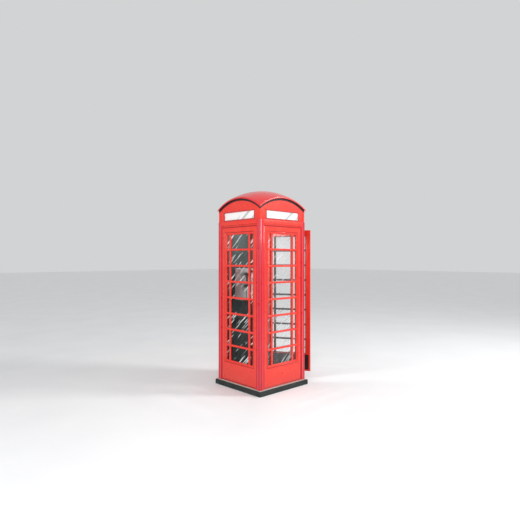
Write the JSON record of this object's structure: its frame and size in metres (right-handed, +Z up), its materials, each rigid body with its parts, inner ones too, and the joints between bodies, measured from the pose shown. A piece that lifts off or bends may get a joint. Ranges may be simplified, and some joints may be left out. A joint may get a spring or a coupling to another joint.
{
  "type": "telephone booth",
  "caption": "Square cast-iron telephone booth with glazed sides, a hinged glazed door, blank sign glasses, a shallow domed roof and a wall coin telephone with dial, handset and cord.",
  "frame": {"origin": "on the ground, at the middle of the plinth's underside", "axes": "+Z up; the door wall faces -Y, the telephone wall is on +X, the fixed glazed sides are on -X and +Y"},
  "size_m": [0.924, 1.2288, 2.69],
  "materials": {
    "plinth_concrete": "precast concrete, painted near-black, matt",
    "mortar": "pale lime mortar, matt",
    "floor_concrete": "smoothed concrete screed",
    "red_casting": "gloss red enamel over primer on cast iron",
    "red_roof": "gloss red enamel on cast iron",
    "red_bars": "gloss red enamel on cast glazing bars",
    "red_door": "gloss red enamel on hardwood",
    "dark_strip": "dark maroon paint",
    "pane_glass": "clear float glass",
    "opal_glass": "white opal glass, blank",
    "lamp_opal": "pressed opal glass",
    "lamp_metal": "cream enamel",
    "inner_metal": "dark semi-gloss paint",
    "board": "black laminated phenolic board",
    "shelf_metal": "cast aluminium, worn paint",
    "fastener_steel": "zinc plated steel",
    "hinge_brass": "satin brass, dulled",
    "pull_chrome": "polished nickel-chrome plate",
    "phone_enamel": "light grey hammer-finish enamel on steel",
    "phone_plate": "brushed stainless steel",
    "slot_black": "black stove enamel",
    "dial_face": "ivory moulded plastic",
    "dial_wheel": "polished stainless steel",
    "lock_brass": "machined brass",
    "tin_steel": "plain steel",
    "handset_black": "black phenolic moulding",
    "hook_chrome": "chrome plated steel",
    "cord_braid": "dark braided cotton over rubber conductors",
    "gland_rubber": "moulded black rubber"
  },
  "bodies": {
    "kiosk": {"plinth": "plinth_concrete", "mortar_bed": "mortar", "floor_slab": "floor_concrete", "corner_post_back_right": "red_casting", "corner_post_back_left": "red_casting", "corner_post_front_left": "red_casting", "corner_post_front_right": "red_casting", "left_panel_frame": "red_casting", "back_panel_frame": "red_casting", "right_blank_panel": "red_casting", "left_glazing_bars": "red_bars", "back_glazing_bars": "red_bars", "left_glass_panes": "pane_glass", "back_glass_panes": "pane_glass", "left_glazing_bead": "inner_metal", "back_glazing_bead": "inner_metal", "header_front": "red_casting", "header_right": "red_casting", "header_back": "red_casting", "header_left": "red_casting", "wall_bolts": "fastener_steel", "fascia_front": "red_roof", "fascia_right": "red_roof", "fascia_back": "red_roof", "fascia_left": "red_roof", "sign_glass_front": "opal_glass", "sign_glass_right": "opal_glass", "sign_glass_back": "opal_glass", "sign_glass_left": "opal_glass", "roof_vent_strip": "dark_strip", "roof_dome": "red_roof", "ceiling_panel": "inner_metal", "lamp_base": "lamp_metal", "lamp_bowl": "lamp_opal", "door_casing": "red_casting", "door_stop_frame": "inner_metal", "hinge_flaps_jamb": "hinge_brass", "hinge_pins": "hinge_brass", "backboard": "board", "shelf": "shelf_metal", "phone_case": "phone_enamel", "phone_face_plate": "phone_plate", "dial_plate": "dial_face", "coin_slot_plate": "slot_black", "cash_box": "tin_steel", "cord_gland": "gland_rubber", "handset_cord": "cord_braid"},
    "door": {"door_leaf": "red_door", "door_glazing_bars": "red_bars", "door_glass_panes": "pane_glass", "door_glazing_bead": "inner_metal", "door_kick_plate": "inner_metal", "door_pull": "pull_chrome", "hinge_flaps_door": "hinge_brass"},
    "handset": {"handset": "handset_black"},
    "hook": {"handset_hook": "hook_chrome"},
    "dial": {"dial_finger_wheel": "dial_wheel"},
    "refund_flap": {"refund_flap": "phone_plate"},
    "cash_door": {"cash_door": "phone_enamel"},
    "cash_lock": {"cash_lock": "lock_brass"}
  },
  "joints": [
    {"name": "door_hinge", "type": "hinge", "parent": "kiosk", "child": "door", "pos_m": [0.3445, -0.43, 1.1355], "axis": [0, 0, 1], "range_deg": [-28, 62]},
    {"name": "handset_lift", "type": "slide", "parent": "kiosk", "child": "handset", "axis": [0, 0, 1], "range_m": [0, 0.06]},
    {"name": "hook_rise", "type": "slide", "parent": "kiosk", "child": "hook", "axis": [0, 0, 1], "range_m": [0, 0.0041]},
    {"name": "dial_turn", "type": "hinge", "parent": "kiosk", "child": "dial", "pos_m": [0.2345, -0.055, 1.455], "axis": [1, 0, 0], "range_deg": [0, 320], "stiffness_Nm_per_rad": 0.01},
    {"name": "refund_flap_swing", "type": "hinge", "parent": "kiosk", "child": "refund_flap", "pos_m": [0.249, -0.1, 1.374], "axis": [0, -1, 0], "range_deg": [0, 60]},
    {"name": "cash_door_hinge", "type": "hinge", "parent": "kiosk", "child": "cash_door", "pos_m": [0.2375, -0.153, 1.225], "axis": [0, 0, 1], "range_deg": [0, 100]},
    {"name": "cash_lock_turn", "type": "hinge", "parent": "cash_door", "child": "cash_lock", "pos_m": [0.238, -0.052, 1.225], "axis": [1, 0, 0], "range_deg": [0, 90]}
  ],
  "couplings": [
    {"joint": "hook_rise", "follows": "handset_lift", "ratio": 0.0667}
  ]
}
